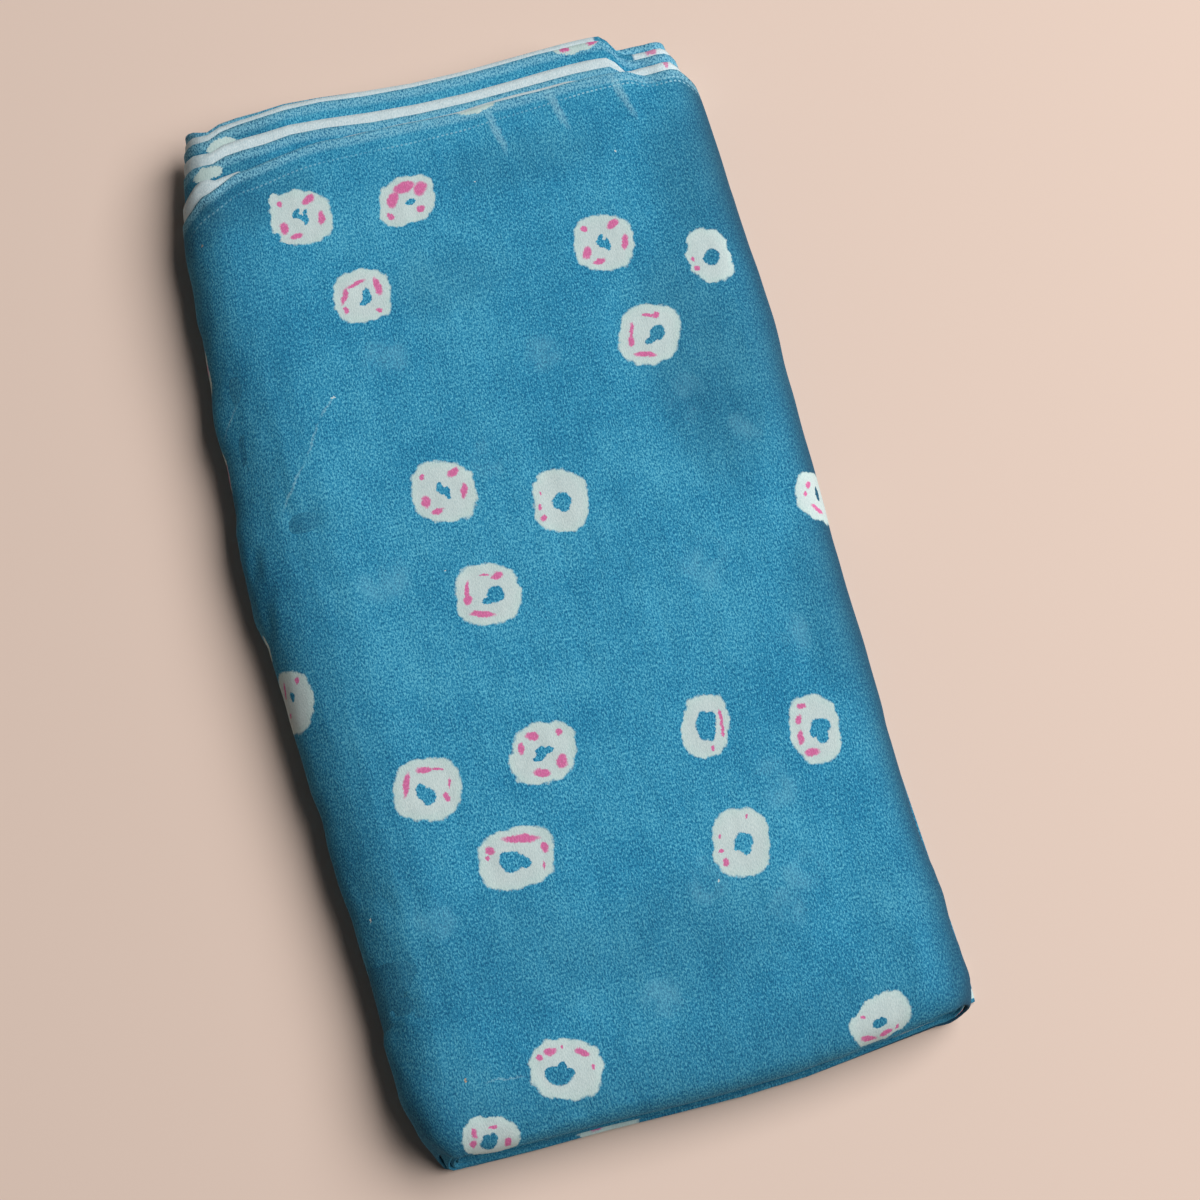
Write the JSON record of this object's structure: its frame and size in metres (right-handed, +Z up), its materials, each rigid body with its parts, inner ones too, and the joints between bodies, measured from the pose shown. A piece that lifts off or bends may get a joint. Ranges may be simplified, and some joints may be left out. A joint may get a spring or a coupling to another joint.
{
  "type": "folded printed mulmul cloth",
  "caption": "Length of fine printed cotton mulmul, doubled across its width and wound flat into a soft oblong bundle with stepped selvedges at one end.",
  "frame": {"origin": "centre of the footprint, on the surface the bundle rests on", "axes": "+Y towards the selvedge end, -Y towards the centre-fold end, X across the bundle with the side folds at its ends, +Z up"},
  "size_m": [0.3138, 0.6058, 0.0442],
  "materials": {
    "mulmul": "matte fine plain weave, indigo-teal ground with pale ring motifs"
  },
  "bodies": {
    "root": {"cloth": "mulmul"}
  },
  "joints": []
}
